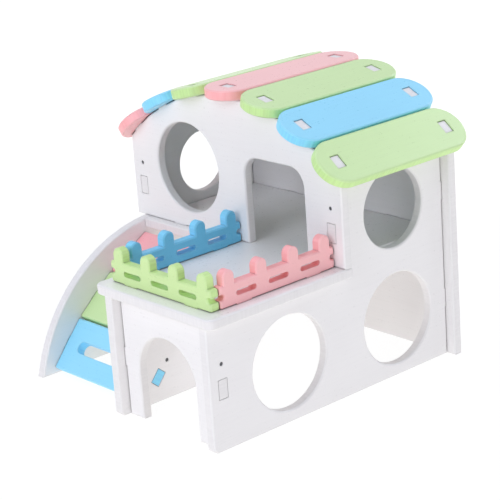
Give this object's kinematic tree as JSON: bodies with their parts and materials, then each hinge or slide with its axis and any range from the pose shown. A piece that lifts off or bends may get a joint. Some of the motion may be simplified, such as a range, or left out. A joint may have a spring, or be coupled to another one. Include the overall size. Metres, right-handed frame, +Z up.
{
  "type": "hamster house",
  "caption": "Wooden house for small pets: pinned white boards with round holes and doors, a curved ramp, a fenced terrace and an arched roof of loose planks.",
  "frame": {"origin": "middle of the footprint of the whole house, on the ground", "axes": "+Z up, -Y out of the front with the arched door, +X towards the right side wall"},
  "size_m": [0.1782, 0.1838, 0.1546],
  "materials": {
    "white_board": "smooth white paint",
    "pink_board": "smooth pink paint",
    "blue_board": "smooth light blue paint",
    "green_board": "smooth light green paint",
    "pin": "dull wire"
  },
  "bodies": {
    "house": {"right_side_wall": "white_board", "left_side_wall": "white_board", "inner_wall": "white_board", "lower_front_wall": "white_board", "middle_floor": "white_board", "gable_wall": "white_board", "back_wall": "white_board", "wall_pins": "pin", "floor_pins": "pin", "ramp_pins": "pin", "ramp_plank_lower": "blue_board", "ramp_plank_middle": "green_board", "ramp_plank_upper": "pink_board"},
    "roof_plank_1": {"roof_plank_1": "pink_board"},
    "roof_plank_2": {"roof_plank_2": "blue_board"},
    "roof_plank_3": {"roof_plank_3": "green_board"},
    "roof_plank_4": {"roof_plank_4": "pink_board"},
    "roof_plank_5": {"roof_plank_5": "green_board"},
    "roof_plank_6": {"roof_plank_6": "blue_board"},
    "roof_plank_7": {"roof_plank_7": "green_board"},
    "fence_front": {"fence_front": "green_board"},
    "fence_right": {"fence_right": "pink_board"},
    "fence_left": {"fence_left": "blue_board"}
  },
  "joints": [
    {"name": "roof_plank_1_lift", "type": "slide", "parent": "house", "child": "roof_plank_1", "axis": [-0.6334, 0, 0.7738], "range_m": [0, 0.012]},
    {"name": "roof_plank_2_lift", "type": "slide", "parent": "house", "child": "roof_plank_2", "axis": [-0.4415, 0, 0.8973], "range_m": [0, 0.012]},
    {"name": "roof_plank_3_lift", "type": "slide", "parent": "house", "child": "roof_plank_3", "axis": [-0.2267, 0, 0.974], "range_m": [0, 0.012]},
    {"name": "roof_plank_4_lift", "type": "slide", "parent": "house", "child": "roof_plank_4", "axis": [0, 0, 1], "range_m": [0, 0.012]},
    {"name": "roof_plank_5_lift", "type": "slide", "parent": "house", "child": "roof_plank_5", "axis": [0.2267, 0, 0.974], "range_m": [0, 0.012]},
    {"name": "roof_plank_6_lift", "type": "slide", "parent": "house", "child": "roof_plank_6", "axis": [0.4415, 0, 0.8973], "range_m": [0, 0.012]},
    {"name": "roof_plank_7_lift", "type": "slide", "parent": "house", "child": "roof_plank_7", "axis": [0.6334, 0, 0.7738], "range_m": [0, 0.012]},
    {"name": "fence_front_lift", "type": "slide", "parent": "house", "child": "fence_front", "axis": [0, 0, 1], "range_m": [0, 0.012]},
    {"name": "fence_right_lift", "type": "slide", "parent": "house", "child": "fence_right", "axis": [0, 0, 1], "range_m": [0, 0.012]},
    {"name": "fence_left_lift", "type": "slide", "parent": "house", "child": "fence_left", "axis": [0, 0, 1], "range_m": [0, 0.012]}
  ]
}
